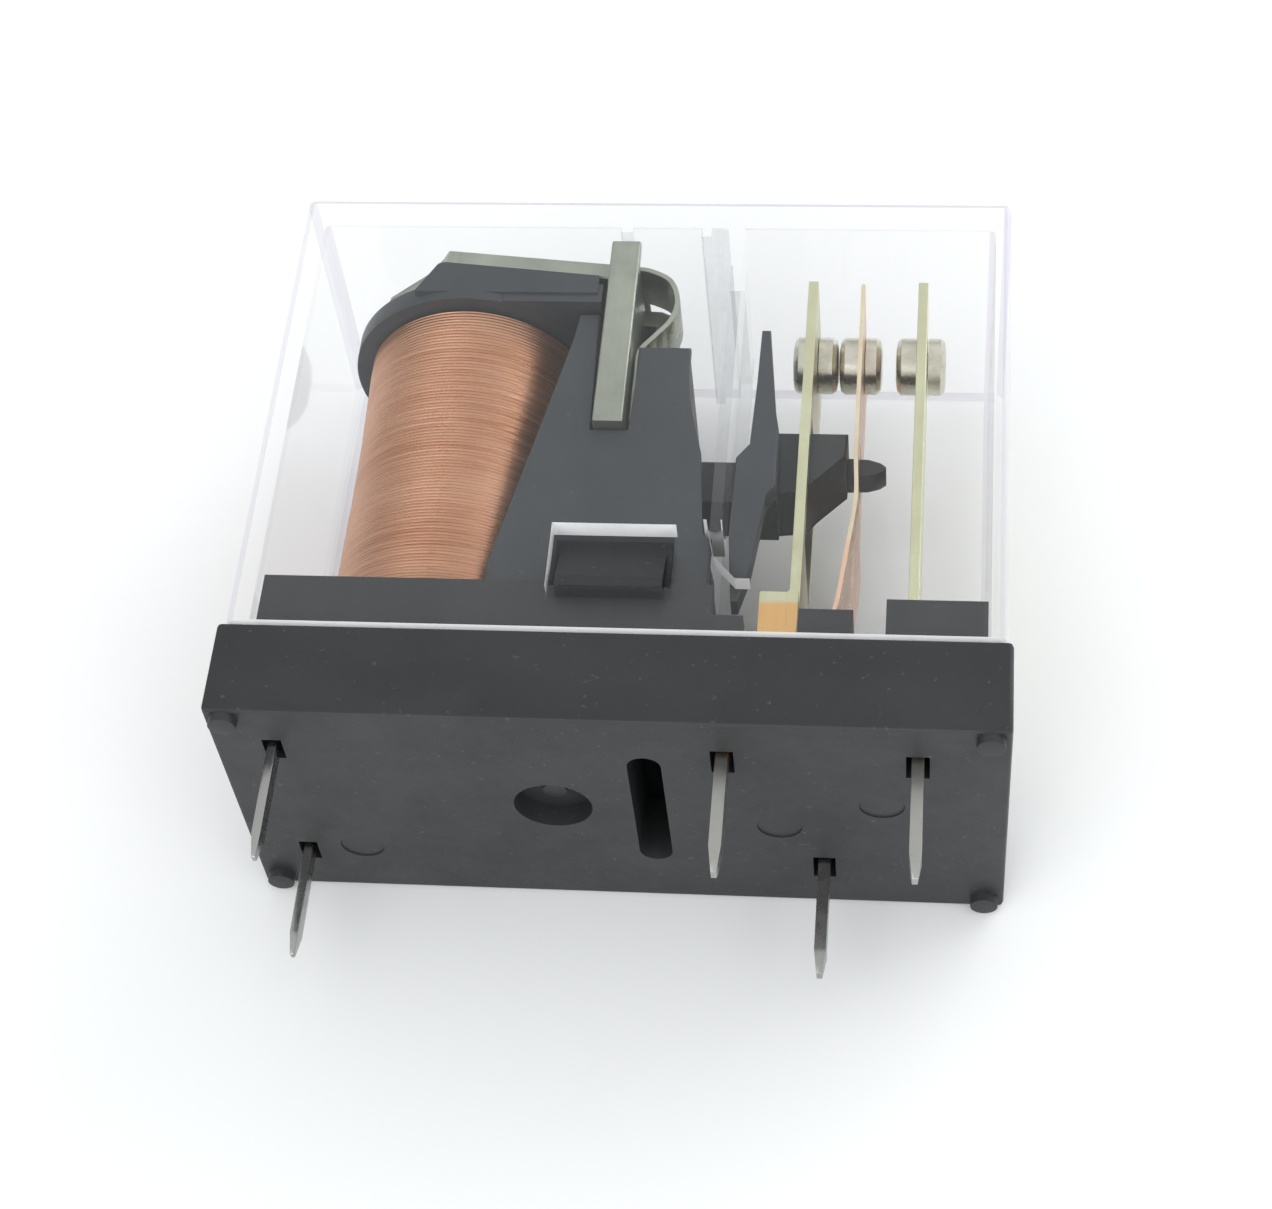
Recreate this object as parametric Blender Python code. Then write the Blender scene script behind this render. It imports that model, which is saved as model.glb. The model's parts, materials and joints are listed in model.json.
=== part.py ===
"""Plug-in power relay with a clear cover: one changeover contact, five flat pins.

Everything is measured in millimetres in the relay's own upright frame: x runs
from the coil end to the contact end, y across the body, z up from the underside
of the base. The last step lays the relay on its side and scales it to metres.
"""

import math

import bmesh
import bpy
from mathutils import Matrix, Vector

MM = 0.001

# outside sizes
LENGTH = 29.0
WIDTH = 12.8
HEIGHT = 24.9
BASE_HEIGHT = 3.8
MID_Y = 6.4
CONTACT_Y = 6.3

# clear cover
COVER_INSET = 0.2
COVER_SIDE_WALL = 0.8
COVER_END_WALL = 0.6
COVER_TOP_WALL = 0.6
COVER_FOOT = BASE_HEIGHT + 0.06
LATCH_X = (11.9, 16.55)
LATCH_Z = (5.9, 8.75)
RIB_X = (17.45, 18.15)

# flat pins
PIN_THICK = 0.45
PIN_WIDE = 1.0
COIL_PIN_THICK = 0.35
COIL_PIN_WIDE = 0.75
PIN_TIP = -4.6
ROW_A = 2.6
ROW_B = 10.1
COIL_X = 2.25
NC_X = 18.7
COM_X = 22.2
NO_X = 25.7

# base details
FLOOR = 2.6
RING_X = (1.1, 18.0)
RING_Y = (1.15, 11.65)
RING_TOP = 6.75
WELL_X = (1.6, 17.4)
WELL_Y = (1.7, 11.1)
SLOT_X = (15.2, 16.45)
SLOT_Y = (2.5, 9.9)
RECESS = (12.2, 6.1, 1.475, 0.9)
NUB_HEIGHT = 0.35

# coil
COIL_AXIS = (7.1, MID_Y)
WINDING_R = 4.55
FLANGE_R = 5.2
FOOT_FLANGE_R = 4.5
TUBE_R = 2.6
CORE_R = 2.0
WINDING_Z = (6.3, 20.4)

# magnetic circuit
HINGE = (14.1, 21.9)
ARMATURE_TILT = math.radians(5.6)
ARMATURE_THICK = 0.8
LEG_Y = (4.6, 8.2)
YOKE_X = (12.75, 13.95)

# contacts
CONTACT_Z = 21.4
CONTACT_R = 1.17
NC_STRIP = (20.7, 21.1)
NO_STRIP = (25.15, 25.55)
SPRING_THICK = 0.16
SPRING_ROOT = (22.35, 6.4)
STRIP_Y = (3.1, 9.5)


# ---------------------------------------------------------------- shape tools


def new_object(name, bm):
    """An object from a bmesh, its faces turned outward."""
    bmesh.ops.remove_doubles(bm, verts=bm.verts, dist=1e-5)
    bmesh.ops.recalc_face_normals(bm, faces=bm.faces)
    mesh = bpy.data.meshes.new(name)
    bm.to_mesh(mesh)
    bm.free()
    obj = bpy.data.objects.new(name, mesh)
    bpy.context.scene.collection.objects.link(obj)
    return obj


def box(x, y, z, edge=0.0):
    """A block between pairs of limits, with its edges rounded if asked."""
    bm = bmesh.new()
    bmesh.ops.create_cube(bm, size=1.0)
    size = Vector((x[1] - x[0], y[1] - y[0], z[1] - z[0]))
    middle = Vector((x[1] + x[0], y[1] + y[0], z[1] + z[0])) / 2
    for v in bm.verts:
        v.co = Vector([v.co[i] * size[i] for i in range(3)]) + middle
    if edge:
        bmesh.ops.bevel(bm, geom=bm.edges[:], offset=edge, segments=2,
                        profile=0.5, affect="EDGES")
    return new_object("block", bm)


def prism(outline, axis, low, high, edge=0.0):
    """An outline pushed along x, y or z: its points are the other two axes."""
    place = {
        "x": lambda p, d: (d, p[0], p[1]),
        "y": lambda p, d: (p[0], d, p[1]),
        "z": lambda p, d: (p[0], p[1], d),
    }[axis]
    bm = bmesh.new()
    bottom = [bm.verts.new(place(p, low)) for p in outline]
    top = [bm.verts.new(place(p, high)) for p in outline]
    count = len(outline)
    bm.faces.new(bottom)
    bm.faces.new(top)
    for i in range(count):
        j = (i + 1) % count
        bm.faces.new((bottom[i], bottom[j], top[j], top[i]))
    if edge:
        rim = [e for e in bm.edges if (e.verts[0] in bottom) == (e.verts[1] in bottom)]
        bmesh.ops.bevel(bm, geom=rim, offset=edge, segments=1, affect="EDGES")
    return new_object("prism", bm)


def turned(profile, centre, axis="z", steps=48):
    """A closed profile of (radius, height) points turned about an axis."""
    bm = bmesh.new()
    rings = []
    for radius, height in profile:
        ring = []
        for i in range(steps if radius > 0 else 1):
            angle = math.tau * i / steps
            a = centre[0] + radius * math.cos(angle)
            b = centre[1] + radius * math.sin(angle)
            ring.append(bm.verts.new((a, b, height) if axis == "z" else (height, a, b)))
        rings.append(ring)
    for k in range(len(rings)):
        lower = rings[k]
        upper = rings[(k + 1) % len(rings)]
        if len(lower) == 1 and len(upper) == 1:
            continue
        for i in range(steps):
            j = (i + 1) % steps
            corners = [lower[i % len(lower)], lower[j % len(lower)],
                       upper[j % len(upper)], upper[i % len(upper)]]
            bm.faces.new(dict.fromkeys(corners))
    return new_object("turned", bm)


def cylinder(centre, radius, low, high, axis="z", steps=32):
    """A plain round bar along z or x."""
    return turned([(0, low), (radius, low), (radius, high), (0, high)], centre, axis, steps)


def ribbon(path, thick, y):
    """A bent strip: a centre line in x and z, a thickness, and limits in y."""
    left = []
    right = []
    for i, point in enumerate(path):
        before = Vector(path[max(i - 1, 0)])
        after = Vector(path[min(i + 1, len(path) - 1)])
        along = (after - before).normalized()
        side = Vector((-along.y, along.x)) * thick / 2
        left.append(tuple(Vector(point) + side))
        right.append(tuple(Vector(point) - side))
    return prism(left + right[::-1], "y", y[0], y[1])


def smooth_path(points, per_span=6):
    """A smooth curve through points, as a list of points along it."""
    ends = [2 * Vector(points[0]) - Vector(points[1])]
    ends += [Vector(p) for p in points]
    ends += [2 * Vector(points[-1]) - Vector(points[-2])]
    path = []
    for k in range(1, len(ends) - 2):
        p0, p1, p2, p3 = ends[k - 1: k + 3]
        for i in range(per_span):
            t = i / per_span
            path.append(0.5 * (2 * p1 + (p2 - p0) * t
                               + (2 * p0 - 5 * p1 + 4 * p2 - p3) * t * t
                               + (3 * p1 - p0 - 3 * p2 + p3) * t ** 3))
    path.append(Vector(points[-1]))
    return path


def wire(path, radius, sides=8):
    """A round wire along a path, closed at both ends."""
    bm = bmesh.new()
    rings = []
    normal = Vector((0, 0, 1))
    for i, point in enumerate(path):
        before = path[max(i - 1, 0)]
        after = path[min(i + 1, len(path) - 1)]
        along = (after - before).normalized()
        normal = (normal - along * normal.dot(along))
        if normal.length < 0.05:
            normal = along.orthogonal()
        normal.normalize()
        across = along.cross(normal)
        rings.append([bm.verts.new(point + radius * (math.cos(math.tau * k / sides) * normal
                                                     + math.sin(math.tau * k / sides) * across))
                      for k in range(sides)])
    for lower, upper in zip(rings, rings[1:]):
        for k in range(sides):
            m = (k + 1) % sides
            bm.faces.new((lower[k], lower[m], upper[m], upper[k]))
    bm.faces.new(rings[0])
    bm.faces.new(rings[-1])
    return new_object("wire", bm)


def combine(first, add=(), cut=()):
    """Joins shapes to the first one, then cuts others out of it."""
    for tool, how in [(t, "UNION") for t in add] + [(t, "DIFFERENCE") for t in cut]:
        step = first.modifiers.new(how.lower(), "BOOLEAN")
        step.operation = how
        step.object = tool
        step.solver = "EXACT"
        bpy.context.view_layer.update()
        seen = first.evaluated_get(bpy.context.evaluated_depsgraph_get())
        mesh = bpy.data.meshes.new_from_object(seen)
        first.modifiers.clear()
        first.data = mesh
        bpy.data.objects.remove(tool)
    bm = bmesh.new()
    bm.from_mesh(first.data)
    bmesh.ops.remove_doubles(bm, verts=bm.verts, dist=1e-5)
    bmesh.ops.dissolve_degenerate(bm, edges=bm.edges, dist=1e-5)
    bm.to_mesh(first.data)
    bm.free()
    return first


def material(name, color, rough, metal=0.0):
    """A plain Principled material."""
    mat = bpy.data.materials.new(name)
    mat.use_nodes = True
    shader = mat.node_tree.nodes["Principled BSDF"]
    shader.inputs["Base Color"].default_value = (*color, 1.0)
    shader.inputs["Roughness"].default_value = rough
    shader.inputs["Metallic"].default_value = metal
    return mat


# ------------------------------------------------------------------- plastics


def make_cover():
    """Thin clear shell, open below, with two latch holes and inner ribs."""
    outer_x = (COVER_INSET, LENGTH - COVER_INSET)
    outer_y = (COVER_INSET, WIDTH - COVER_INSET)
    inner_x = (outer_x[0] + COVER_END_WALL, outer_x[1] - COVER_END_WALL)
    inner_y = (outer_y[0] + COVER_SIDE_WALL, outer_y[1] - COVER_SIDE_WALL)
    roof = HEIGHT - COVER_TOP_WALL
    shell = box(outer_x, outer_y, (COVER_FOOT - 2, HEIGHT), 0.3)
    hollow = box(inner_x, inner_y, (COVER_FOOT - 3, roof), 0.25)
    trim = box((-1, 30), (-1, 14), (COVER_FOOT - 4, COVER_FOOT))
    combine(shell, cut=[hollow, trim])
    into = 0.2
    near = (inner_y[0] - into, 3.4)
    far = (9.4, inner_y[1] + into)
    across = (inner_y[0] - into, inner_y[1] + into)
    ribs = [
        box(RIB_X, near, (9.6, roof + into)),
        box(RIB_X, far, (9.6, roof + into)),
        box((RIB_X[0] + 0.05, RIB_X[1] - 0.05), (near[1] - 0.3, far[0] + 0.3),
            (22.9, roof + into)),
        box((13.1, 13.6), across, (23.9, roof + into)),
        box((16.4, 16.8), across, (23.7, roof + into)),
    ]
    foot = [(17.5, 9.9), (18.05, 9.9), (18.3, 8.3), (19.35, 6.95), (18.8, 6.95), (17.95, 7.9)]
    ribs.append(prism(foot, "y", near[0], 1.7))
    holes = [box(LATCH_X, (-1, 14), LATCH_Z)]
    return combine(shell, add=ribs, cut=holes)


def pin_hole(x, row):
    """The clearance around one pin, through the base."""
    side = 0.36 if x == COIL_X else 0.42
    long = 0.62 if x == COIL_X else 0.72
    return box((x - side, x + side), (row - long, row + long), (-1, 5))


def make_base():
    """Moulded base: floor, raised ring around the coil, blocks and latches."""
    body = box((0, LENGTH), (0, WIDTH), (0, BASE_HEIGHT), 0.18)
    low = BASE_HEIGHT - 0.5
    ring = box(RING_X, RING_Y, (low, RING_TOP))
    step_a = box((17.7, 19.2), (RING_Y[0], 1.85), (low, 5.4))
    step_b = box((17.7, 19.2), (10.95, RING_Y[1]), (low, 5.4))
    middle = box((21.2, 23.2), (1.2, 11.6), (low, 5.8))
    right = box((24.4, 28.1), (1.2, 11.6), (low, 6.3))
    add = [ring, step_a, step_b, middle, right]
    for side in (0, 1):
        tongue_y = [RING_Y[0], WELL_Y[0]] if side == 0 else [WELL_Y[1], RING_Y[1]]
        nose_y = 0.4 if side == 0 else WIDTH - 0.4
        wall_y = RING_Y[0] + 0.1 if side == 0 else RING_Y[1] - 0.1
        add.append(box((12.0, 16.4), tongue_y, (RING_TOP - 0.4, 8.6)))
        add.append(prism([(wall_y, 8.3), (nose_y, 6.5), (nose_y, 6.05), (wall_y, 6.05)],
                         "x", 12.2, 16.2))
    for x in (0.75, LENGTH - 0.75):
        for y in (0.62, WIDTH - 0.62):
            add.append(cylinder((x, y), 0.52, -NUB_HEIGHT, 0.4, steps=24))
    well = box(WELL_X, WELL_Y, (FLOOR, RING_TOP + 3))
    slot_round = (SLOT_X[1] - SLOT_X[0]) / 2
    slot_mid = (SLOT_X[0] + SLOT_X[1]) / 2
    slot_outline = []
    for i in range(13):
        angle = math.pi * i / 12
        slot_outline.append((slot_mid + slot_round * math.cos(angle),
                             SLOT_Y[1] - slot_round + slot_round * math.sin(angle)))
    for i in range(13):
        angle = math.pi + math.pi * i / 12
        slot_outline.append((slot_mid + slot_round * math.cos(angle),
                             SLOT_Y[0] + slot_round + slot_round * math.sin(angle)))
    slot = prism(slot_outline, "z", -1, FLOOR + 0.5)
    x, y, radius, deep = RECESS
    recess = turned([(0, deep - 0.25), (0.45, deep - 0.25), (0.45, deep),
                     (radius, deep), (radius, -1), (0, -1)], (x, y), steps=40)
    cut = [well, slot, recess]
    for x, y in ((4.4, 9.6), (20.6, 7.1), (24.4, 5.4)):
        cut.append(cylinder((x, y), 0.85, -1, 0.06, steps=28))
    for x, row in ((COIL_X, ROW_A), (COIL_X, ROW_B), (NC_X, ROW_A), (COM_X, ROW_B),
                   (NO_X, ROW_A)):
        cut.append(pin_hole(x, row))
    cut.append(box((21.75, 22.62), (3.15, 10.75), (3.0, 7)))
    cut.append(box((25.05, 26.12), (1.95, 9.65), (3.0, 7)))
    return combine(body, add=add, cut=cut)


def make_insulation_frame():
    """Two side cheeks beside the yoke, joined by a low wall and a top bar."""
    outline = [
        (9.3, 2.75), (9.3, 8.0), (10.3, 12.6), (11.6, 19.0), (11.7, 20.25),
        (12.55, 20.25), (12.55, 14.3), (14.22, 14.3), (14.22, 18.6), (16.3, 18.6),
        (16.3, 16.3), (17.05, 13.4), (17.3, 9.45), (17.75, 9.3), (17.75, 6.9),
        (17.25, 6.9), (17.25, 2.75),
    ]
    near = prism(outline, "y", 1.8, 2.28, 0.08)
    far = prism(outline, "y", 10.52, 11.0, 0.08)
    wall = box((16.75, 17.22), (2.1, 10.7), (2.9, 10.8))
    bar = box((15.9, 16.25), (2.1, 10.7), (17.0, 18.5))
    return combine(near, add=[wall, bar, far])


def make_bobbin():
    """Coil former: a tube with a foot flange and a wide top flange."""
    spool = turned([
        (CORE_R + 0.1, 5.3), (FOOT_FLANGE_R, 5.3), (FOOT_FLANGE_R, 6.22), (TUBE_R, 6.22),
        (TUBE_R, 20.48), (FLANGE_R, 20.48), (FLANGE_R, 21.35), (FLANGE_R - 0.15, 21.5),
        (CORE_R + 0.1, 21.5),
    ], COIL_AXIS, steps=96)
    shelf = box((8.6, 12.58), (1.35, 11.45), (20.5, 21.42))
    guard = [(4.95, 20.9), (5.75, 22.35), (6.0, 22.45), (12.4, 21.8), (12.4, 20.9)]
    near = prism(guard, "y", 1.25, 1.6)
    far = prism(guard, "y", 11.2, 11.55)
    bore = cylinder(COIL_AXIS, CORE_R + 0.1, 5, 22, steps=96)
    return combine(spool, add=[shelf, near, far], cut=[bore])


def make_card():
    """Sliding card that carries the armature's push to the moving contact."""
    blade = prism([
        (18.4, 13.3), (18.95, 13.9), (19.05, 19.65), (19.4, 19.65), (19.9, 14.8),
        (20.0, 12.0), (19.6, 11.6), (19.4, 9.6), (19.2, 8.0), (18.85, 6.6), (18.6, 6.6),
        (18.35, 9.6),
    ], "y", 1.95, 2.95, 0.06)
    block = prism([
        (18.43, 13.3), (18.95, 13.95), (19.2, 16.2), (19.72, 16.2), (19.96, 14.8),
        (19.96, 12.25), (18.43, 12.25),
    ], "y", 2.2, 6.0, 0.06)
    body = prism([
        (19.3, 16.35), (22.55, 16.35), (22.5, 15.2), (22.15, 14.9), (21.3, 14.1),
        (20.9, 13.4), (19.0, 13.2),
    ], "y", 4.3, 7.2, 0.08)
    nose = prism([
        (22.3, 16.2), (23.35, 16.15), (23.8, 16.0), (24.05, 15.8), (24.05, 15.7),
        (23.8, 15.5), (23.35, 15.35), (22.3, 15.3),
    ], "y", 5.75, 6.85)
    arm = box((15.7, 19.4), (4.9, 7.2), (13.25, 15.3), 0.08)
    return combine(blade, add=[block, body, nose, arm])


# ---------------------------------------------------------- coil and magnetics


def make_winding():
    """The wound copper as one ring between the flanges, a little waisted."""
    low, high = WINDING_Z
    inner = TUBE_R + 0.06
    profile = [(inner, low)]
    count = 12
    for i in range(count + 1):
        t = i / count
        waist = 0.1 * math.sin(math.pi * t)
        profile.append((WINDING_R - waist, low + (high - low) * t))
    profile.append((inner, high))
    return turned(profile, COIL_AXIS, steps=80)


def make_core():
    """Iron core: a rod with a pole face above and a staked foot below."""
    return turned([
        (0, 3.25), (1.35, 3.25), (1.45, 3.35), (1.45, 4.78), (CORE_R, 4.78), (CORE_R, 21.56),
        (3.2, 21.56), (3.2, 21.74), (3.1, 21.82), (0, 21.82),
    ], COIL_AXIS, steps=64)


def make_yoke():
    """L-shaped iron frame with two ears that hold the armature sideways."""
    upright = prism([
        (2.6, 3.5), (10.2, 3.5), (10.2, 14.45), (11.5, 14.45), (11.5, 23.7), (11.16, 23.7),
        (11.16, 21.78), (1.64, 21.78), (1.64, 23.7), (1.3, 23.7), (1.3, 14.45), (2.6, 14.45),
    ], "x", YOKE_X[0], YOKE_X[1], 0.05)
    foot = box((3.9, YOKE_X[1] - 0.4), (2.7, 10.1), (3.58, 4.7))
    hole = cylinder(COIL_AXIS, 1.52, 3, 5.5, steps=48)
    return combine(upright, add=[foot], cut=[hole])


def make_armature():
    """Bent iron plate: a wide leg over the pole and a narrow leg that pushes."""
    hx, hz = HINGE
    base = hz + 0.06
    reach = hx - 2.9
    half = 4.65
    plan = [(-0.25, -half), (-8.2, -half), (-9.2, -half + 1.65), (-reach, -half + 3.3),
            (-reach, half - 3.3), (-9.2, half - 1.65), (-8.2, half), (-0.25, half)]
    plate = prism([(hx + x, MID_Y + y) for x, y in plan], "z", base,
                  base + ARMATURE_THICK, 0.08)
    turn = (Matrix.Translation((hx, 0, hz)) @ Matrix.Rotation(ARMATURE_TILT, 4, "Y")
            @ Matrix.Translation((-hx, 0, -hz)))
    plate.data.transform(turn)
    top = ARMATURE_THICK + 0.06
    lean = math.tan(ARMATURE_TILT)
    leg = prism([
        (hx - 1.2, hz + 0.06 + 1.2 * lean + 0.02), (14.45, hz + 0.06), (14.45, 13.2),
        (15.3, 13.2), (15.3, hz + 0.3), (15.05, hz + top - 0.2), (14.6, hz + top),
        (hx - 1.2, hz + top + 1.2 * lean - 0.04),
    ], "y", *LEG_Y)
    return combine(plate, add=[leg])


def make_hinge_spring():
    """Leaf clipped behind the yoke, with two arms that curl over the armature."""
    leaf = ribbon([(14.14, 15.3), (14.14, 18.4)], 0.2, (2.38, 10.42))
    arm_path = smooth_path([
        (14.14, 17.9), (14.2, 18.9), (14.75, 19.7), (15.3, 20.5), (15.5, 21.5),
        (15.15, 22.55), (14.3, 23.08), (13.6, 23.2),
    ])
    arm_a = ribbon([tuple(p) for p in arm_path], 0.2, (2.4, LEG_Y[0] - 0.15))
    arm_b = ribbon([tuple(p) for p in arm_path], 0.2, (LEG_Y[1] + 0.15, 10.4))
    bridge = box((13.45, 14.1), (2.6, 10.2), (23.08, 23.24))
    return combine(leaf, add=[arm_a, arm_b, bridge])


# ----------------------------------------------------- terminals and contacts


def pin(x, row, top, thick=PIN_THICK, wide=PIN_WIDE):
    """One flat pin with a tapered tip, from PIN_TIP up to a height."""
    t = thick / 2
    w = wide / 2
    bm = bmesh.new()
    rings = []
    for z, k in ((PIN_TIP, 0.45), (PIN_TIP + 0.9, 1.0), (top, 1.0)):
        rings.append([bm.verts.new((x + sx * t * k, row + sy * w * k, z))
                      for sx, sy in ((-1, -1), (1, -1), (1, 1), (-1, 1))])
    for lower, upper in zip(rings, rings[1:]):
        for i in range(4):
            j = (i + 1) % 4
            bm.faces.new((lower[i], lower[j], upper[j], upper[i]))
    bm.faces.new(rings[0])
    bm.faces.new(rings[-1])
    return new_object("pin", bm)


def make_nc_terminal():
    """Pin, foot flange and upright strip of the normally closed contact."""
    strip = box(NC_STRIP, STRIP_Y, (4.2, 23.2))
    foot = box(NC_STRIP, (2.2, 4.0), (4.2, 7.3))
    flange = box((19.65, NC_STRIP[1] - 0.1), (2.24, 2.6), (4.3, 7.25))
    link = box((NC_X - PIN_THICK / 2 + 0.05, 20.0), (2.29, 2.55), (4.4, 5.1))
    window = box((20, 22), (4.0, 8.6), (10.8, 16.9))
    hole = cylinder((CONTACT_Y, CONTACT_Z), 0.62, 20, 22, "x", 32)
    return combine(strip, add=[foot, flange, link, pin(NC_X, ROW_A, 5.3)],
                   cut=[window, hole])


def make_no_terminal():
    """Pin, jog and upright strip of the normally open contact."""
    strip = box(NO_STRIP, STRIP_Y, (3.52, 23.2))
    jog = box((NO_STRIP[0] + 0.1, NO_X + PIN_THICK / 2 - 0.06), (2.2, 5.0), (3.26, 3.75))
    hole = cylinder((CONTACT_Y, CONTACT_Z), 0.62, 24, 27, "x", 32)
    return combine(strip, add=[jog, pin(NO_X, ROW_A, 3.44)], cut=[hole])


def make_com_terminal():
    """Pin and short upright plate that the moving spring is riveted to."""
    plate = box((21.9, 22.2), (3.3, 10.4), (3.2, 6.9))
    jog = box((22.0, COM_X + PIN_THICK / 2 - 0.06), (8.0, 10.5), (3.26, 3.68))
    holes = [cylinder((y, SPRING_ROOT[1]), 0.32, 21, 23, "x", 20) for y in (4.7, 7.9)]
    return combine(plate, add=[jog, pin(COM_X, ROW_B, 3.5)], cut=holes)


def make_moving_spring():
    """Thin leaf from the common terminal up to the moving contact."""
    x = SPRING_ROOT[0]
    path = smooth_path([
        (x, 5.95), (x, 6.7), (x + 0.17, 7.5), (22.8, 10.0), (23.02, 12.2), (22.95, 14.2),
        (22.93, 16.5), (22.93, 22.9),
    ], 4)
    leaf = ribbon([tuple(p) for p in path], SPRING_THICK, (2.9, 9.3))
    nose_hole = box((22, 24), (5.3, 7.3), (14.8, 16.8))
    rivet_hole = cylinder((CONTACT_Y, CONTACT_Z), 0.62, 22, 24, "x", 32)
    holes = [cylinder((y, SPRING_ROOT[1]), 0.32, 21, 23, "x", 20) for y in (4.7, 7.9)]
    return combine(leaf, cut=[nose_hole, rivet_hole] + holes)


def make_contact(back, strip, front):
    """A contact rivet along x: two domed heads and the shank through its strip."""
    gap = 0.03
    low = strip[0] - gap
    high = strip[1] + gap
    return turned([
        (0, back), (0.7, back), (1.03, back + 0.06), (CONTACT_R, back + 0.22),
        (CONTACT_R, low - 0.01), (0.55, low), (0.55, high), (CONTACT_R, high + 0.01),
        (CONTACT_R, front - 0.22), (1.03, front - 0.06), (0.7, front), (0, front),
    ], (CONTACT_Y, CONTACT_Z), "x", 40)


def make_spring_rivet(y):
    """A small rivet that clamps the moving spring to its terminal."""
    return turned([
        (0, 21.6), (0.35, 21.6), (0.45, 21.7), (0.45, 21.84), (0.26, 21.85), (0.26, 22.48),
        (0.45, 22.49), (0.45, 22.62), (0.35, 22.72), (0, 22.72),
    ], (y, SPRING_ROOT[1]), "x", 24)


def make_coil_lead(row):
    """Wire end of the coil: down past the foot flange and round its post."""
    sign = -1 if row < MID_Y else 1
    start = math.radians(208 if sign < 0 else 152)
    reach = WINDING_R + 0.2
    points = []
    for angle, z in ((start + 0.35 * sign * -1, 7.0), (start + 0.18 * sign * -1, 6.5),
                     (start, 6.0)):
        points.append(Vector((COIL_AXIS[0] + reach * math.cos(angle),
                              COIL_AXIS[1] + reach * math.sin(angle), z)))
    turns = 2.5
    count = 44
    first = -0.9 * sign * -1
    for i in range(count + 1):
        angle = first + sign * math.tau * turns * i / count
        points.append(Vector((COIL_X + 0.33 * math.cos(angle), row + 0.59 * math.sin(angle),
                              5.75 - 1.2 * i / count)))
    return wire(points, 0.065, 6)


# --------------------------------------------------------------- whole relay


def clear_scene():
    for obj in list(bpy.data.objects):
        bpy.data.objects.remove(obj)


def place(obj, name, mat, parent, origin=(0.0, 0.0, 0.0), smooth=False):
    """Names a piece, moves its origin, and hangs it on its parent empty."""
    obj.name = name
    obj.data.name = name
    obj.data.transform(Matrix.Translation(-Vector(origin)))
    obj.data.transform(Matrix.Scale(MM, 4))
    obj.data.materials.clear()
    obj.data.materials.append(mat)
    if smooth:
        obj.data.shade_smooth()
        obj.data.set_sharp_from_angle(angle=math.radians(35))
    obj.parent = parent


def empty(name, location, parent=None):
    obj = bpy.data.objects.new(name, None)
    bpy.context.scene.collection.objects.link(obj)
    obj.location = Vector(location) * MM
    obj.parent = parent
    return obj


def build():
    clear_scene()
    black = material("black_plastic", (0.035, 0.038, 0.04), 0.5)
    dark = material("dark_plastic", (0.028, 0.03, 0.035), 0.45)
    clear = material("clear_plastic", (0.9, 0.92, 0.93), 0.08)
    clear.node_tree.nodes["Principled BSDF"].inputs["Alpha"].default_value = 0.25
    copper = material("coil_copper", (0.62, 0.3, 0.16), 0.4, 1.0)
    iron = material("plated_iron", (0.45, 0.46, 0.43), 0.35, 1.0)
    brass = material("brass_strip", (0.62, 0.58, 0.36), 0.3, 1.0)
    bronze = material("spring_copper", (0.68, 0.42, 0.28), 0.3, 1.0)
    tin = material("tinned_brass", (0.6, 0.6, 0.58), 0.3, 1.0)
    silver = material("contact_silver", (0.75, 0.74, 0.7), 0.3, 1.0)
    steel = material("spring_steel", (0.5, 0.5, 0.46), 0.3, 1.0)

    middle_z = (HEIGHT + PIN_TIP) / 2
    lying = empty("lying_relay", (-LENGTH / 2, -middle_z, WIDTH))
    lying.rotation_euler = (math.radians(-90), 0, 0)
    hinge = (HINGE[0], MID_Y, HINGE[1])
    armature_axis = empty("armature_axis", hinge, lying)
    root = (SPRING_ROOT[0], CONTACT_Y, SPRING_ROOT[1])
    spring_axis = empty("moving_spring_axis", root, lying)

    place(make_cover(), "cover", clear, lying, smooth=True)
    place(make_base(), "base", black, lying, smooth=True)
    place(make_insulation_frame(), "insulation_frame", dark, lying)
    place(make_bobbin(), "bobbin", dark, lying, smooth=True)
    place(make_winding(), "coil_winding", copper, lying, smooth=True)
    place(make_core(), "coil_core", iron, lying, smooth=True)
    place(make_yoke(), "yoke", iron, lying)
    place(make_hinge_spring(), "hinge_spring", steel, lying, smooth=True)
    place(make_armature(), "armature", iron, armature_axis, hinge)
    place(make_card(), "card", dark, lying)

    place(make_nc_terminal(), "nc_terminal", brass, lying)
    place(make_no_terminal(), "no_terminal", brass, lying)
    place(make_com_terminal(), "com_terminal", tin, lying)
    for row, end in ((ROW_A, "a"), (ROW_B, "b")):
        coil_pin = pin(COIL_X, row, 6.35, COIL_PIN_THICK, COIL_PIN_WIDE)
        place(coil_pin, "coil_terminal_" + end, tin, lying)
    place(make_coil_lead(ROW_A), "coil_lead_a", copper, lying, smooth=True)
    place(make_coil_lead(ROW_B), "coil_lead_b", copper, lying, smooth=True)
    place(make_spring_rivet(4.7), "spring_rivet_a", silver, lying, smooth=True)
    place(make_spring_rivet(7.9), "spring_rivet_b", silver, lying, smooth=True)

    place(make_contact(20.08, NC_STRIP, 21.92), "nc_contact", silver, lying, smooth=True)
    place(make_contact(24.28, NO_STRIP, 26.32), "no_contact", silver, lying, smooth=True)
    place(make_moving_spring(), "moving_spring", bronze, spring_axis, root)
    moving = make_contact(21.98, (22.85, 23.01), 23.71)
    place(moving, "moving_contact", silver, spring_axis, root, smooth=True)


build()
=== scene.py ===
"""Looks, floor, light and camera for the clear-covered power relay."""

import json
import math
import random

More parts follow.
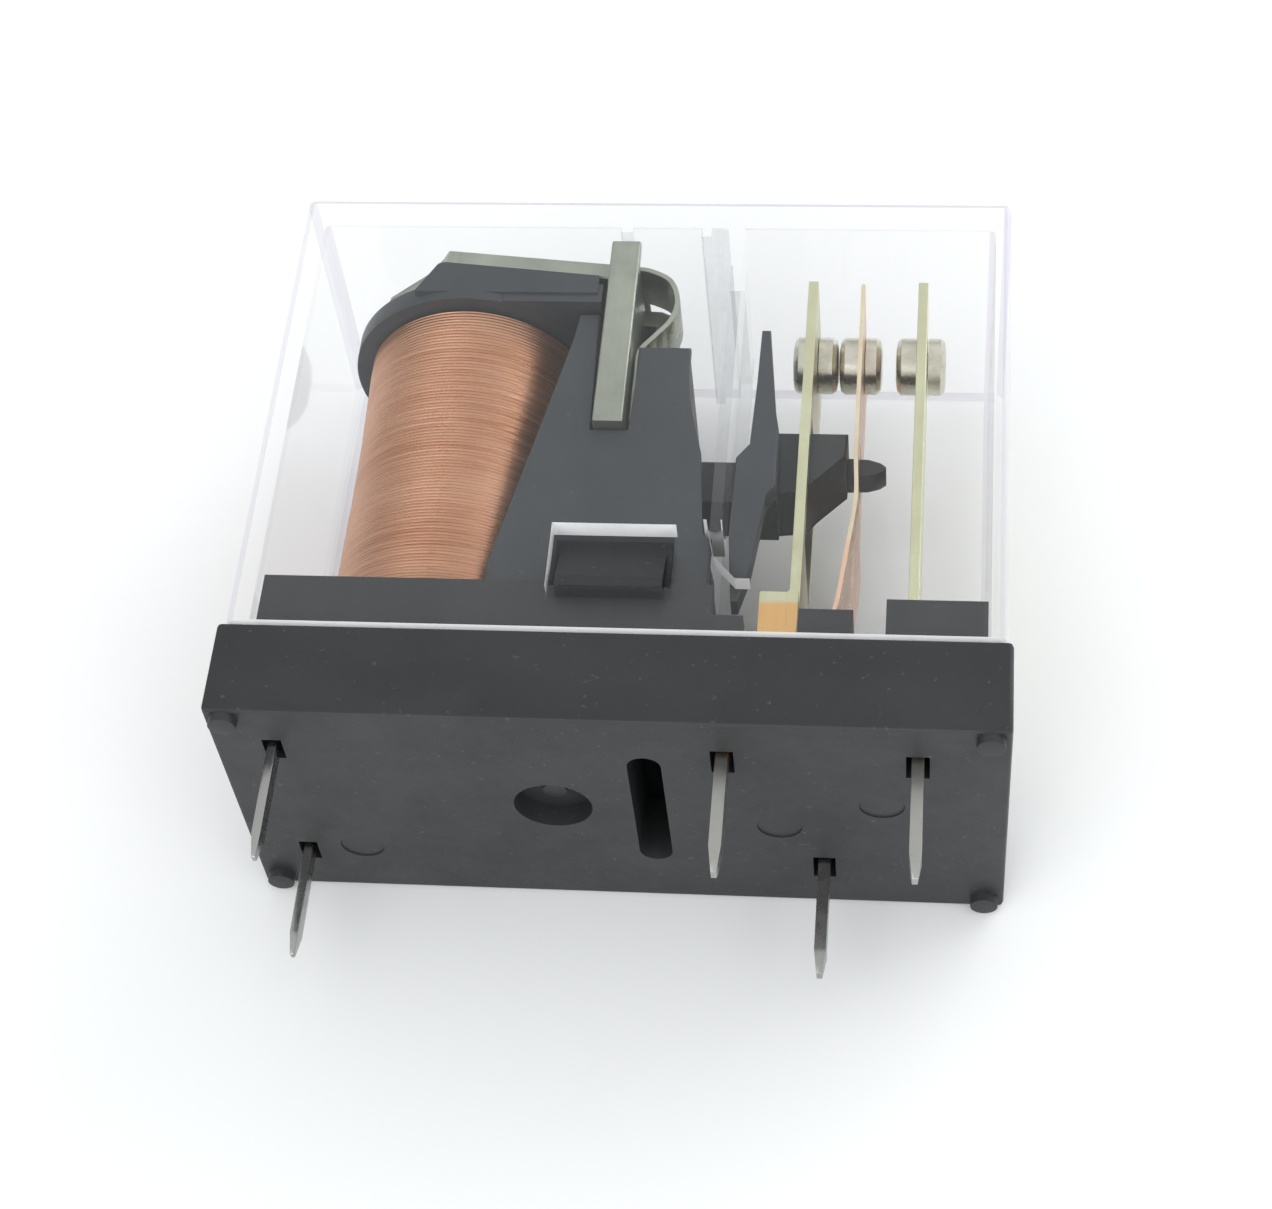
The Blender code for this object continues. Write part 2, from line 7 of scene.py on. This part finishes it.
import bmesh
import bpy
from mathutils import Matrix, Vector


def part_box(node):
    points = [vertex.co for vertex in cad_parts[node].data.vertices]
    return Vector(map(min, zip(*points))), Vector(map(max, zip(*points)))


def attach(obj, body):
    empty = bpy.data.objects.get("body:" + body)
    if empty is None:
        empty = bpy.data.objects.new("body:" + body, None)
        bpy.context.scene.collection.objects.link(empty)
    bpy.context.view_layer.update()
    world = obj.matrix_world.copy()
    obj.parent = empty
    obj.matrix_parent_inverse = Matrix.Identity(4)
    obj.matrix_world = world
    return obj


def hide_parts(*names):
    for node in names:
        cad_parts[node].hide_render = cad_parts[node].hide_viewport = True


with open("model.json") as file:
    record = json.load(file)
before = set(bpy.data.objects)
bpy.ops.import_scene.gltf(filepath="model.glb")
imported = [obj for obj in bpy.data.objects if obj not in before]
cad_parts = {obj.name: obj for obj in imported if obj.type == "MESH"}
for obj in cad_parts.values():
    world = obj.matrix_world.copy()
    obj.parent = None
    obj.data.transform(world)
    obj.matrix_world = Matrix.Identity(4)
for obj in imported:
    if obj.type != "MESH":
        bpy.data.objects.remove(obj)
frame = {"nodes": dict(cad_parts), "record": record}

MM = 0.001
SHARP_DEGREES = 28.0
SHADE_DEGREES = 40.0
NODES = frame["nodes"]
BODY_OF = {n: b for b, ns in frame["record"]["behaviour"]["bodies"].items() for n in ns}
SLOT_OF = {s["node"]: s["material_slot"] for s in frame["record"]["subparts"]}
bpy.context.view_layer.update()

# ------------------------------------------------------------ node material kit


class Tree:
    """A material's node tree with short calls for adding and linking nodes."""

    def __init__(self, name):
        self.mat = bpy.data.materials.new(name)
        self.mat.use_nodes = True
        self.tree = self.mat.node_tree
        self.tree.nodes.clear()
        self.out = self.tree.nodes.new("ShaderNodeOutputMaterial")
        self.coords = self.tree.nodes.new("ShaderNodeTexCoord").outputs["Object"]

    def node(self, kind, sockets=None, **props):
        n = self.tree.nodes.new(kind)
        for key, value in props.items():
            setattr(n, key, value)
        for key, value in (sockets or {}).items():
            if isinstance(value, bpy.types.NodeSocket):
                self.tree.links.new(value, n.inputs[key])
            else:
                n.inputs[key].default_value = value
        return n

    def stretched(self, scale, turn=(0, 0, 0)):
        """Object coordinates scaled by three numbers."""
        return self.node("ShaderNodeMapping", {"Vector": self.coords, "Scale": scale,
                                               "Rotation": turn}).outputs[0]

    def noise(self, scale, detail=4.0, rough=0.55, vector=None, warp=0.0):
        return self.node("ShaderNodeTexNoise", {
            "Vector": vector or self.coords, "Scale": scale, "Detail": detail,
            "Roughness": rough, "Distortion": warp}).outputs["Fac"]

    def ramp(self, fac, low, high, at=(0.3, 0.7)):
        """A value or colour that goes from low to high as fac crosses a range."""
        n = self.node("ShaderNodeMapRange", {"Value": fac, "From Min": at[0], "From Max": at[1],
                                             "To Min": low, "To Max": high})
        return n.outputs[0]

    def mix(self, fac, a, b, how="MIX"):
        n = self.node("ShaderNodeMix", {0: fac, 6: a, 7: b}, data_type="RGBA", blend_type=how)
        return n.outputs[2]

    def bump(self, height, strength, depth, normal=None):
        sockets = {"Height": height, "Strength": strength, "Distance": depth}
        if normal is not None:
            sockets["Normal"] = normal
        return self.node("ShaderNodeBump", sockets).outputs[0]

    def math(self, op, a, b=0.0):
        return self.node("ShaderNodeMath", {0: a, 1: b}, operation=op).outputs[0]

    def principled(self, **sockets):
        names = {k.replace("_", " "): v for k, v in sockets.items()}
        return self.node("ShaderNodeBsdfPrincipled", names).outputs[0]

    def surface(self, shader):
        self.tree.links.new(shader, self.out.inputs["Surface"])
        return self.mat


def rgb(r, g, b):
    return (r, g, b, 1.0)


# ------------------------------------------------------------------- materials


def moulded_plastic(name, color, lift, rough, grain=9000.0, depth=1.2e-5):
    """Dark moulded plastic: fine spark-eroded grain, flow marks, faint rub marks."""
    t = Tree(name)
    grains = t.noise(grain, 3.0, 0.6)
    flow = t.noise(160.0, 5.0, 0.6, warp=0.6)
    rub = t.noise(520.0, 6.0, 0.7, t.stretched((1.0, 0.22, 1.0), (0.0, 0.0, 0.5)))
    dust = t.ramp(t.noise(3800.0, 2.0, 0.5), 0.0, 1.0, (0.68, 0.76))
    tone = t.mix(t.ramp(flow, 0.0, 1.0), rgb(*color), rgb(*lift))
    tone = t.mix(t.math("MULTIPLY", dust, 0.16), tone, rgb(0.2, 0.2, 0.2))
    roughness = t.math("ADD", t.ramp(rub, rough - 0.07, rough + 0.09), t.ramp(grains, -0.02, 0.02))
    normal = t.bump(grains, 0.55, depth)
    normal = t.bump(flow, 0.25, 2.5e-5, normal)
    return t.surface(t.principled(Base_Color=tone, Roughness=roughness, Normal=normal,
                                  IOR=1.45))


def rolled_metal(name, color, shade, rough, depth=5e-6, spots=0.25,
                 spot_color=(0.25, 0.2, 0.13), below=()):
    """Rolled or plated strip: lengthwise grain, cloudy tone, small tarnish spots.

    below lists (Y, colour): the plating that starts under each level.
    """
    lengthwise = (1.0, 0.04, 1.0)
    ragged_by = 4e-5
    fade_by = 1e-4
    t = Tree(name)
    lines = t.noise(3200.0, 5.0, 0.65, t.stretched(lengthwise))
    cloud = t.noise(260.0, 4.0, 0.6, warp=0.8)
    fine = t.noise(2100.0, 4.0, 0.6)
    spot = t.ramp(t.noise(900.0, 5.0, 0.7), 0.0, spots, (0.6, 0.78))
    tone = t.mix(t.ramp(cloud, 0.0, 1.0), rgb(*color), rgb(*shade))
    height = t.node("ShaderNodeSeparateXYZ", {"Vector": t.coords}).outputs["Y"]
    for level, plating in below:
        ragged = t.math("ADD", height, t.ramp(fine, -ragged_by, ragged_by))
        fac = t.ramp(ragged, 1.0, 0.0, (level - fade_by, level + fade_by))
        tone = t.mix(fac, tone, rgb(*plating))
    groove = rgb(*[c * 0.6 for c in shade])
    tone = t.mix(t.ramp(lines, 0.0, 0.22, (0.35, 0.75)), tone, groove)
    tone = t.mix(spot, tone, rgb(*spot_color))
    roughness = t.math("ADD", t.ramp(cloud, rough - 0.05, rough + 0.07),
                       t.ramp(fine, -0.05, 0.07))
    normal = t.bump(lines, 0.5, depth)
    return t.surface(t.principled(Base_Color=tone, Metallic=1.0, Roughness=roughness,
                                  Normal=normal))


def turned_silver(name):
    """Contact metal: silver with faint lathe rings round the contacts' common axis."""
    axis_y, axis_z = 11.25 * MM, 6.5 * MM
    rings_per_metre = 62000.0
    t = Tree(name)
    parts = t.node("ShaderNodeSeparateXYZ", {"Vector": t.coords})
    dy = t.math("SUBTRACT", parts.outputs["Y"], axis_y)
    dz = t.math("SUBTRACT", parts.outputs["Z"], axis_z)
    squares = t.math("ADD", t.math("MULTIPLY", dy, dy), t.math("MULTIPLY", dz, dz))
    rings = t.math("SINE", t.math("MULTIPLY", t.math("SQRT", squares), rings_per_metre))
    cloud = t.noise(700.0, 4.0, 0.6, warp=0.5)
    tarnish = t.ramp(t.noise(1500.0, 5.0, 0.65), 0.0, 0.5, (0.5, 0.75))
    tone = t.mix(t.ramp(cloud, 0.0, 1.0), rgb(0.74, 0.73, 0.64), rgb(0.58, 0.56, 0.46))
    tone = t.mix(tarnish, tone, rgb(0.42, 0.38, 0.29))
    roughness = t.ramp(cloud, 0.22, 0.36)
    normal = t.bump(rings, 0.25, 4e-6)
    return t.surface(t.principled(Base_Color=tone, Metallic=1.0, Roughness=roughness,
                                  Normal=normal))


def enamelled_copper(name):
    """Fine magnet wire: warm copper under clear enamel, varied from turn to turn."""
    t = Tree(name)
    turns = t.noise(2400.0, 4.0, 0.65, t.stretched((0.05, 2.2, 0.05)))
    bands = t.noise(330.0, 4.0, 0.6, t.stretched((0.35, 1.0, 0.35)))
    fleck = t.noise(5200.0, 3.0, 0.6)
    tone = t.mix(t.ramp(bands, 0.0, 1.0, (0.35, 0.65)), rgb(0.50, 0.28, 0.18),
                 rgb(0.38, 0.17, 0.085))
    tone = t.mix(t.ramp(turns, 0.0, 0.7, (0.4, 0.7)), tone, rgb(0.60, 0.37, 0.26))
    tone = t.mix(t.ramp(fleck, 0.0, 0.35, (0.6, 0.72)), tone, rgb(0.40, 0.17, 0.08))
    roughness = t.ramp(turns, 0.32, 0.5)
    normal = t.bump(fleck, 0.3, 5e-6)
    return t.surface(t.principled(
        Base_Color=tone, Metallic=0.85, Roughness=roughness, Normal=normal, Coat_Weight=0.35,
        Coat_Roughness=0.22, Coat_Tint=rgb(1.0, 0.78, 0.5)))


def clear_plastic(name, through, haze_and_painted_light, haze_and_painted_light_share, gloss_rough=0.05, one_sided=False):
    """Clear moulding: light passes straight through, with a gloss and a thin white diffuse. That
    diffuse also carries painted light: near-opaque white on the cut faces for light piped through
    the wall, and a grey painted shade on the corners.

    Only the side of a face that looks outward is glossy, and with one_sided only that
    side is hazy.
    """
    t = Tree(name)
    scuff = t.noise(900.0, 6.0, 0.7, t.stretched((1.0, 0.3, 1.0), (0.0, 0.0, 0.35)))
    cloud = t.noise(140.0, 3.0, 0.5)
    rough = t.ramp(scuff, gloss_rough * 0.6, gloss_rough * 1.8)
    ripple = t.bump(cloud, 0.2, 6e-5)
    clear = t.node("ShaderNodeBsdfTransparent", {"Color": rgb(*through)}).outputs[0]
    mist_and_painted_light = t.node("ShaderNodeBsdfDiffuse", {"Color": rgb(*haze_and_painted_light), "Normal": ripple}).outputs[0]
    gloss = t.node("ShaderNodeBsdfGlossy", {"Color": rgb(1, 1, 1), "Roughness": rough,
                                            "Normal": ripple}).outputs[0]
    front = t.math("SUBTRACT", 1.0, t.node("ShaderNodeNewGeometry").outputs["Backfacing"])
    spread = min(0.4, (1 - haze_and_painted_light_share) / 2)
    share = t.ramp(scuff, haze_and_painted_light_share * (1 - spread), haze_and_painted_light_share * (1 + spread))
    if one_sided:
        share = t.math("MULTIPLY", share, front)
    body = t.node("ShaderNodeMixShader", {0: share, 1: clear, 2: mist_and_painted_light}).outputs[0]
    mirror = t.node("ShaderNodeFresnel", {"IOR": 1.4, "Normal": ripple}).outputs[0]
    mirror = t.math("MULTIPLY", mirror, front)
    return t.surface(t.node("ShaderNodeMixShader", {0: mirror, 1: body, 2: gloss}).outputs[0])


TIN = (0.4, 0.4, 0.385)
GILT = (0.74, 0.44, 0.17)
BRASS = ((0.69, 0.70, 0.48), (0.57, 0.565, 0.36), 0.33)
UNDERSIDE = -10.1 * MM
GILT_TOP = -3.4 * MM
MATERIALS = {
    "black_base": moulded_plastic("base plastic", (0.015, 0.0168, 0.0178), (0.024, 0.026, 0.027),
                                  0.47),
    "black_inner": moulded_plastic("inner plastic", (0.026, 0.031, 0.035), (0.037, 0.043, 0.048),
                                   0.42, 6000.0, 1.5e-6),
    "plated_iron": rolled_metal("plated iron", (0.43, 0.455, 0.38), (0.32, 0.34, 0.29), 0.38),
    "spring_steel": rolled_metal("spring steel", (0.43, 0.45, 0.39), (0.32, 0.34, 0.28), 0.32),
    "pale_brass": rolled_metal("pale brass", *BRASS, below=[(UNDERSIDE, TIN)]),
    "copper_alloy": rolled_metal("copper alloy", (0.86, 0.55, 0.4), (0.74, 0.43, 0.28), 0.3),
    "tinned_pin": rolled_metal("tinned pin", TIN, (0.33, 0.33, 0.315), 0.26, depth=2e-6,
                               spots=0.3, spot_color=(0.2, 0.2, 0.19)),
    "contact_silver": turned_silver("contact silver"),
    "coil_wire": enamelled_copper("enamelled copper"),
}
GILT_FOOT = rolled_metal("pale brass, gilt foot", *BRASS,
                         below=[(GILT_TOP, GILT), (UNDERSIDE, TIN)])
SHEARED_EDGE = rolled_metal("sheared alloy edge", (0.84, 0.76, 0.56), (0.74, 0.6, 0.42), 0.38,
                            below=[(0.0, (0.85, 0.56, 0.4))])
# The clear cover's looks, in the order of its material slots.
WALL, SHADED_CORNER, RIB, PAINTED_LIGHT_CUT, FLOOR_FACING_CORNER = range(5)
COVER_LOOKS = [
    clear_plastic("clear cover", (0.998, 0.998, 0.999), (0.92, 0.94, 0.96), 0.006),
    # Corner bands: a grey tint and a grey diffuse, painted shade for the refraction at the rounded
    # corners.
    clear_plastic("clear cover edge, painted shade", (0.89, 0.875, 0.915), (0.82, 0.8, 0.86), 0.07),
    clear_plastic("clear cover rib end", (0.92, 0.925, 0.935), (0.8, 0.82, 0.84), 0.16),
    # Cut faces: near-opaque white, painted light piped through the clear wall.
    clear_plastic("clear cover cut face, painted light", (0.98, 0.985, 0.99), (0.98, 0.985, 0.99), 0.93, 0.3,
                  one_sided=True),
    # Corners facing the floor: a lighter copy of the painted corner shade.
    clear_plastic("clear cover floor-facing edge, lighter painted shade", (0.97, 0.97, 0.975), (0.86, 0.86, 0.9), 0.02),
]

# --------------------------------------------------------------------- pieces


def weld(mesh):
    """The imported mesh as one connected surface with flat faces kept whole."""
    bm = bmesh.new()
    bm.from_mesh(mesh)
    bmesh.ops.remove_doubles(bm, verts=bm.verts, dist=2e-7)
    bmesh.ops.dissolve_limit(bm, angle_limit=math.radians(0.3), verts=bm.verts,
                             edges=bm.edges)
    return bm


def soften(bm, width):
    """Rounds the sharp edges."""
    sharp = [e for e in bm.edges if len(e.link_faces) == 2
             and e.calc_face_angle(0.0) > math.radians(SHARP_DEGREES)]
    bmesh.ops.bevel(bm, geom=sharp, offset=width, segments=2, profile=0.5,
                    affect="EDGES", clamp_overlap=True)


def piece_from(bm, name, stands_for, materials):
    """A shown piece from a bmesh, riding where the CAD nodes it stands for ride."""
    mesh = bpy.data.meshes.new(name)
    bm.to_mesh(mesh)
    bm.free()
    for layer in [a.name for a in mesh.attributes if a.name in ("custom_normal", "UVMap")]:
        mesh.attributes.remove(mesh.attributes[layer])
    mesh.shade_smooth()
    mesh.set_sharp_from_angle(angle=math.radians(SHADE_DEGREES))
    obj = bpy.data.objects.new(name, mesh)
    bpy.context.scene.collection.objects.link(obj)
    for mat in materials:
        mesh.materials.append(mat)
    obj.modifiers.new("even shading", "WEIGHTED_NORMAL").keep_sharp = True
    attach(obj, BODY_OF[stands_for[0]])
    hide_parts(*stands_for)
    return obj


def refined(node, width):
    """A CAD node with its edges softened by a width in mm and its real material."""
    bm = weld(NODES[node].data)
    if width:
        soften(bm, width * MM)
    looks = [MATERIALS[SLOT_OF[node]]]
    if node == "nc_terminal":
        looks = [GILT_FOOT]
    elif node == "moving_spring":
        looks.append(SHEARED_EDGE)
    for face in bm.faces:
        sheared = len(looks) > 1 and abs(face.normal.z) > 0.7
        face.material_index = int(sheared)
    return piece_from(bm, node + "_finished", [node], looks)


def on_outer_side(co, low, high):
    """Whether a point lies on the cover's outer sides."""
    near = 0.32 * MM
    return (co.x < low.x + near or co.x > high.x - near
            or co.z < low.z + near or co.z > high.z - near)


def within(c, x, y):
    """Whether a point lies between two limits in mm along X and along Y."""
    return x[0] * MM < c.x < x[1] * MM and y[0] * MM < c.y < y[1] * MM


def cover_look(face, low, high):
    """Which of COVER_LOOKS a face of the cover takes."""
    c = face.calc_center_median()
    n = face.normal
    rim_height = 0.16 * MM
    rib_area = 22 * MM * MM
    # The bottom rim, the rib's foot and the latch window's walls take the painted light of the cut
    # faces.
    if c.y < low.y + rim_height:
        return PAINTED_LIGHT_CUT
    if 11 * MM < c.z < 11.75 * MM and within(c, (2.9, 4.9), (-3.3, -0.2)):  # the rib's foot
        return PAINTED_LIGHT_CUT
    # Corner bands take the painted corner shade; those facing the floor take its lighter copy.
    if max(abs(n.x), abs(n.y), abs(n.z)) < 0.98:
        return SHADED_CORNER if n.z > -0.3 else FLOOR_FACING_CORNER
    if abs(n.z) < 0.5 and within(c, (-2.62, 2.07), (-4.27, -1.38)):  # the latch window
        return PAINTED_LIGHT_CUT
    if face.calc_area() < rib_area and low.x + 1 * MM < c.x < high.x - 1 * MM:
        return RIB
    return WALL


def make_cover():
    """The clear shell with its rounded corners, rims, ribs and cut faces told apart."""
    bm = weld(NODES["cover"].data)
    low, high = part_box("cover")
    rim = [e for e in bm.edges if all(v.co.y < low.y + 0.01 * MM for v in e.verts)
           and any(f.normal.y > -0.5 for f in e.link_faces)
           and any(on_outer_side(v.co, low, high) for v in e.verts)]
    bmesh.ops.bevel(bm, geom=rim, offset=0.22 * MM, segments=1, affect="EDGES")
    for face in bm.faces:
        face.material_index = cover_look(face, low, high)
    return piece_from(bm, "cover_clear", ["cover"], COVER_LOOKS)


def make_winding():
    """The coil's outer layer, turn by turn, as a ridged helical surface."""
    low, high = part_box("coil_winding")
    cx, cz = (low.x + high.x) / 2, (low.z + high.z) / 2
    outer = (high.x - low.x) / 2
    inner = 2.66 * MM
    pitch = 0.15 * MM
    steps = 96
    per_turn = 4
    inset, waist, unevenness = 0.075, 0.10, 0.012
    wire_height, wire_jitter = 0.06, 0.012
    random.seed(5)
    turns = int((high.y - low.y) / pitch)
    lift = [random.uniform(-1, 1) for _ in range(turns + 3)]
    bm = bmesh.new()
    rows = []
    for j in range(turns * per_turn + 1):
        row = []
        for i in range(steps):
            along = (j + per_turn * i / steps) / per_turn
            k = int(along)
            part = along - k
            y = min(max(low.y + pitch * (along - 0.5), low.y), high.y)
            t = (y - low.y) / (high.y - low.y)
            ridge = math.sqrt(max(0.0, 1 - (2 * part - 1) ** 2))
            layer = lift[k] * (1 - part) + lift[k + 1] * part
            angle = math.tau * i / steps
            swell = waist * math.sin(math.pi * t) + unevenness * math.sin(5 * angle + 9 * t)
            radius = outer - (inset + swell - wire_height * ridge - wire_jitter * layer) * MM
            row.append(bm.verts.new((cx + radius * math.cos(angle), y,
                                     cz + radius * math.sin(angle))))
        rows.append(row)
    for y in (high.y, low.y):
        rows.append([bm.verts.new((cx + inner * math.cos(math.tau * i / steps), y,
                                   cz + inner * math.sin(math.tau * i / steps)))
                     for i in range(steps)])
    rows.append(rows[0])
    for lower, upper in zip(rows, rows[1:]):
        for i in range(steps):
            m = (i + 1) % steps
            bm.faces.new((lower[i], lower[m], upper[m], upper[i]))
    bmesh.ops.recalc_face_normals(bm, faces=bm.faces)
    return piece_from(bm, "coil_winding_turns", ["coil_winding"], [MATERIALS["coil_wire"]])


# How far the edges of each piece are rounded, in mm; the order is the order of the pieces.
EDGE_WIDTH = {
    "base": 0.05, "insulation_frame": 0.04, "bobbin": 0.05, "card": 0.04, "coil_core": 0.05,
    "yoke": 0.03, "armature": 0.03, "hinge_spring": 0.02, "nc_terminal": 0.03,
    "no_terminal": 0.03, "com_terminal": 0.03, "coil_terminal_a": 0.05,
    "coil_terminal_b": 0.05, "coil_lead_a": 0.0, "coil_lead_b": 0.0, "spring_rivet_a": 0.0,
    "spring_rivet_b": 0.0, "nc_contact": 0.0, "no_contact": 0.0, "moving_spring": 0.015,
    "moving_contact": 0.0,
}

make_cover()
make_winding()
for node_name, edge_width in EDGE_WIDTH.items():
    refined(node_name, edge_width)

# --------------------------------------------------------- floor, light, camera


def make_floor():
    """A large pale table just under the relay."""
    bm = bmesh.new()
    bmesh.ops.create_grid(bm, x_segments=1, y_segments=1, size=1.5)
    mesh = bpy.data.meshes.new("floor")
    bm.to_mesh(mesh)
    bm.free()
    floor = bpy.data.objects.new("floor", mesh)
    bpy.context.scene.collection.objects.link(floor)
    floor.location.z = -0.02 * MM
    t = Tree("pale table")
    tone = t.mix(t.ramp(t.noise(14.0, 3.0), 0.0, 1.0), rgb(0.935, 0.945, 0.942),
                 rgb(0.92, 0.93, 0.928))
    mesh.materials.append(t.surface(t.principled(Base_Color=tone, Roughness=0.6)))


def area_light(name, place, aim, size, watts):
    """A soft rectangular light at a place, facing an aim point, all in metres."""
    data = bpy.data.lights.new(name, "AREA")
    data.shape = "RECTANGLE"
    data.size, data.size_y = size
    data.energy = watts
    obj = bpy.data.objects.new(name, data)
    bpy.context.scene.collection.objects.link(obj)
    obj.location = place
    obj.rotation_euler = (Vector(aim) - Vector(place)).to_track_quat("-Z", "Y").to_euler()


def make_world():
    """Even white surroundings, dimmer toward the horizon than overhead."""
    world = bpy.data.worlds.new("soft studio")
    bpy.context.scene.world = world
    world.use_nodes = True
    tree = world.node_tree
    coords = tree.nodes.new("ShaderNodeTexCoord")
    parts = tree.nodes.new("ShaderNodeSeparateXYZ")
    fade = tree.nodes.new("ShaderNodeMapRange")
    fade.interpolation_type = "SMOOTHSTEP"
    fade.inputs["From Min"].default_value = 0.0
    fade.inputs["From Max"].default_value = 0.75
    fade.inputs["To Min"].default_value = 0.52
    fade.inputs["To Max"].default_value = 0.97
    back = tree.nodes["Background"]
    back.inputs["Color"].default_value = (0.97, 0.985, 1.0, 1.0)
    tree.links.new(coords.outputs["Generated"], parts.inputs[0])
    tree.links.new(parts.outputs["Z"], fade.inputs["Value"])
    tree.links.new(fade.outputs[0], back.inputs["Strength"])


def make_camera():
    """A long lens at the fitted eye point, aimed at the middle of the relay."""
    eye = Vector((0.0122, -0.06107, 0.09495))
    aim = Vector((0.0, -0.0008, 0.0064))
    level_forward = Vector((0.0506, 0.62753, -0.7770)).normalized()
    level_up = Vector((-0.0204, 0.7785, 0.6274))
    forward = (aim - eye).normalized()
    up = level_forward.rotation_difference(forward) @ level_up
    right = forward.cross(up).normalized()
    up = right.cross(forward)
    data = bpy.data.cameras.new("camera")
    data.lens = 78
    data.clip_start = 0.005
    data.clip_end = 10
    cam = bpy.data.objects.new("camera", data)
    bpy.context.scene.collection.objects.link(cam)
    turn = cam.matrix_world.to_3x3()
    turn.col[0], turn.col[1], turn.col[2] = right, up, -forward
    matrix = turn.to_4x4()
    matrix.translation = eye
    cam.matrix_world = matrix
    bpy.context.scene.camera = cam


MIDDLE = (0, 0, 0)
make_floor()
make_world()
area_light("key", (-0.2, -0.3, 0.3), MIDDLE, (0.3, 0.3), 0.42)
area_light("fill", (0.3, -0.26, 0.24), MIDDLE, (0.25, 0.25), 0.22)
area_light("back", (0.25, 0.27, 0.2), MIDDLE, (0.3, 0.2), 0.45)
area_light("low front", (0.0, -0.35, 0.07), (0, -0.01, 0.005), (0.3, 0.12), 0.4)
make_camera()
bpy.context.scene.view_settings.view_transform = "Standard"
bpy.context.scene.cycles.transparent_max_bounces = 32
